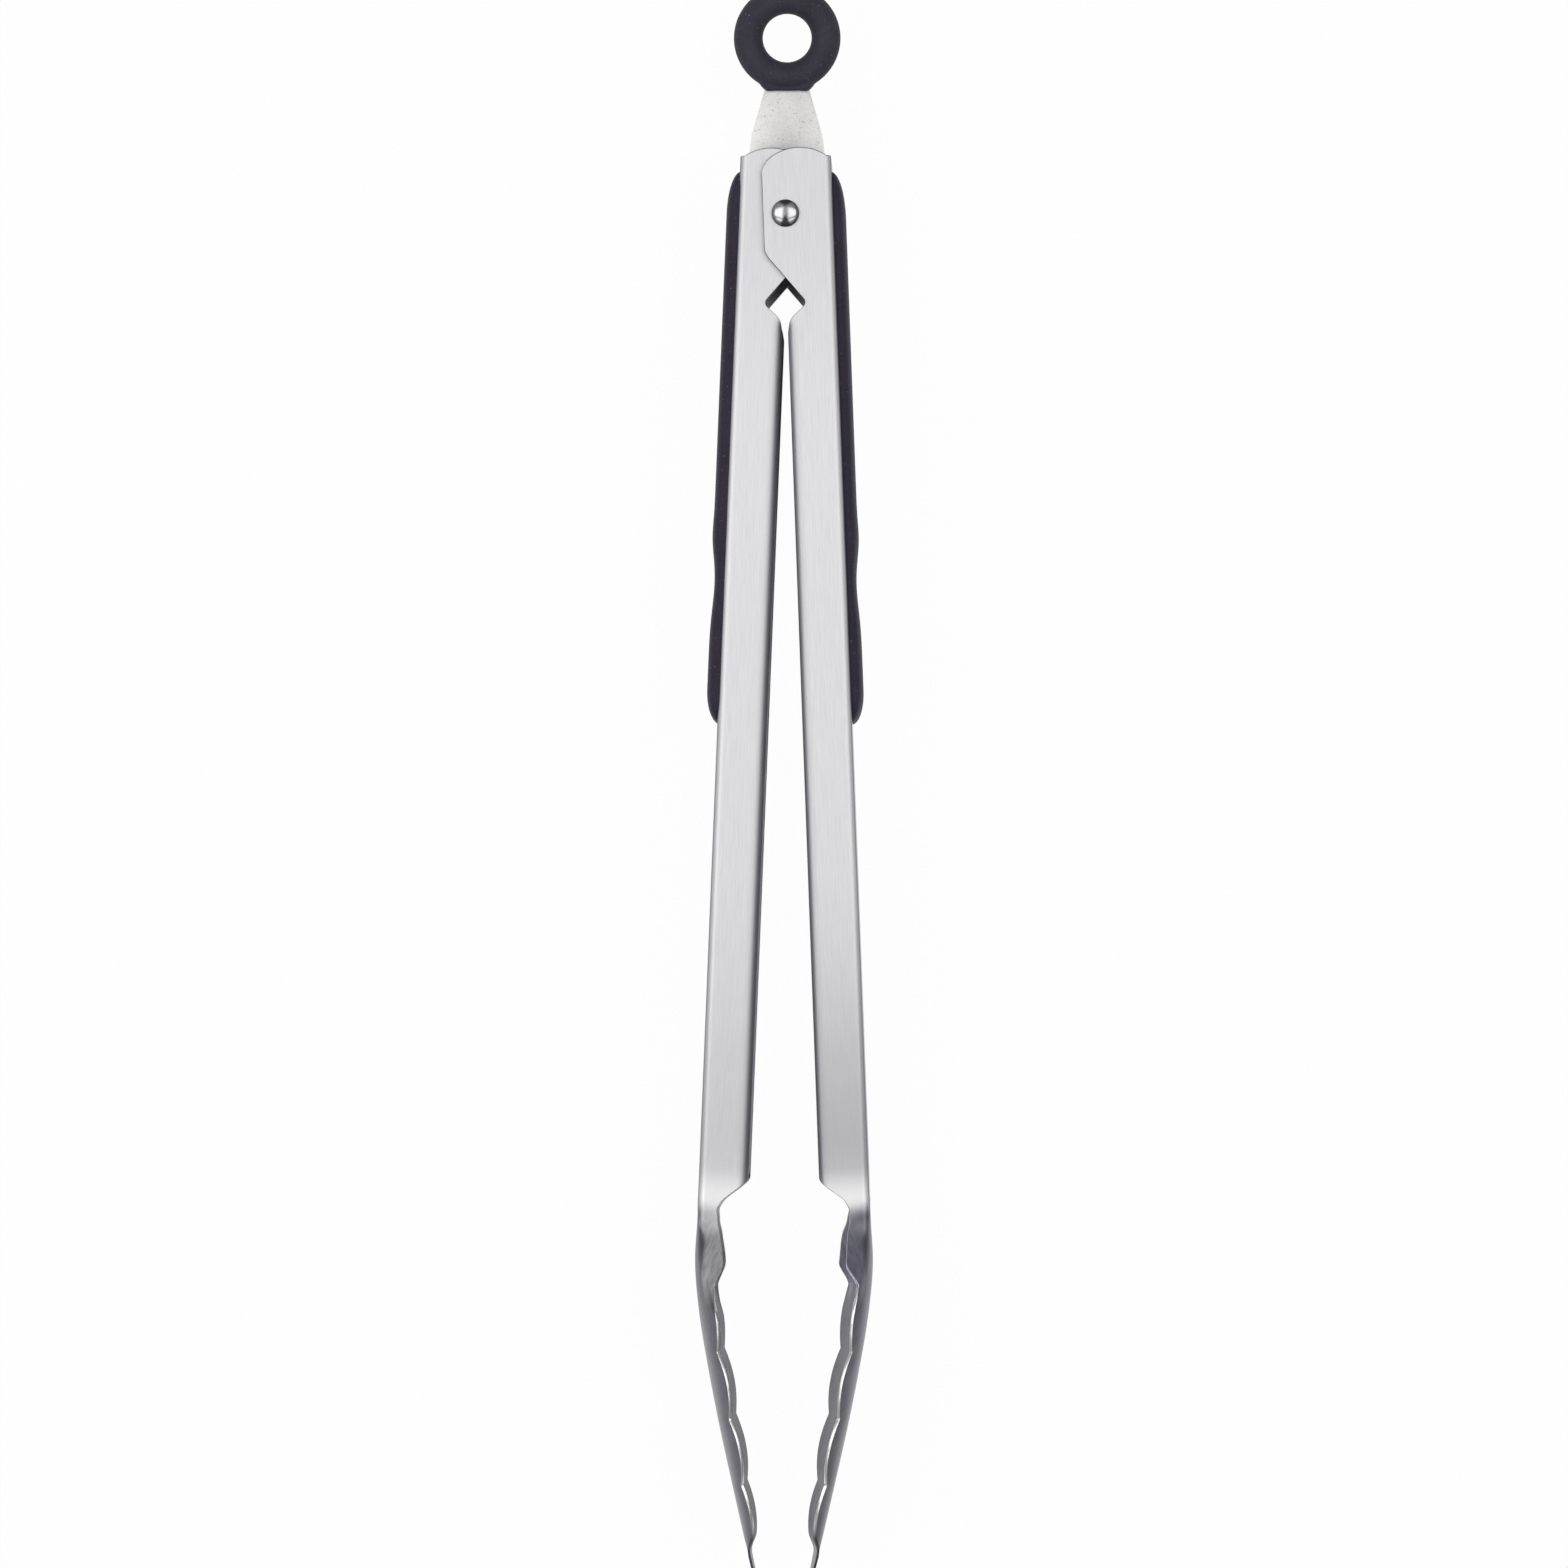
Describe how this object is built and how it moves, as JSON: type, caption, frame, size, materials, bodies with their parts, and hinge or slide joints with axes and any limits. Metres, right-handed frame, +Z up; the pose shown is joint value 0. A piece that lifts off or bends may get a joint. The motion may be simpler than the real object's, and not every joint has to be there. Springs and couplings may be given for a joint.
{
  "type": "locking kitchen tongs",
  "caption": "Spring loaded steel kitchen tongs with soft black grips, scalloped spoon heads and a pull ring lock.",
  "frame": {"origin": "bottom centre of the bounding box, tongs lying on their back face, locked", "axes": "+Y from the heads towards the pull ring, +X across both arms to the right, +Z up along the rivet"},
  "size_m": [0.0382, 0.3448, 0.0379],
  "materials": {
    "arm_steel": "satin brushed along the arm",
    "slide_steel": "matte rolled sheet",
    "rivet_steel": "polished",
    "spring_steel": "drawn wire",
    "black_rubber": "matte",
    "black_nylon": "matte"
  },
  "bodies": {
    "hinge": {"pivot_rivet": "rivet_steel", "rivet_washer": "slide_steel", "front_bush": "black_nylon", "rear_bush": "black_nylon", "front_spring": "spring_steel", "rear_spring": "spring_steel"},
    "left_arm": {"left_arm": "arm_steel", "left_grip": "black_rubber", "left_grip_core": "black_nylon"},
    "right_arm": {"right_arm": "arm_steel", "right_grip": "black_rubber", "right_grip_core": "black_nylon"},
    "lock": {"lock_slide": "slide_steel", "hanging_ring": "black_rubber"}
  },
  "joints": [
    {"name": "left_arm_swing", "type": "hinge", "parent": "hinge", "child": "left_arm", "pos_m": [0, 0.12156, 0.01883], "axis": [0, 0, -1], "range_deg": [-0.9, 9.5], "deforming": ["front_spring", "rear_spring"]},
    {"name": "right_arm_swing", "type": "hinge", "parent": "hinge", "child": "right_arm", "pos_m": [0, 0.12156, 0.01883], "axis": [0, 0, 1], "range_deg": [-0.91, 9.51]},
    {"name": "lock_travel", "type": "slide", "parent": "hinge", "child": "lock", "axis": [0, 1, 0], "range_m": [-0.01228, 0.00118]}
  ],
  "couplings": [
    {"joint": "right_arm_swing", "follows": "left_arm_swing", "ratio": 1},
    {"joint": "lock_travel", "follows": "left_arm_swing", "m_per_rad": -0.07391}
  ]
}
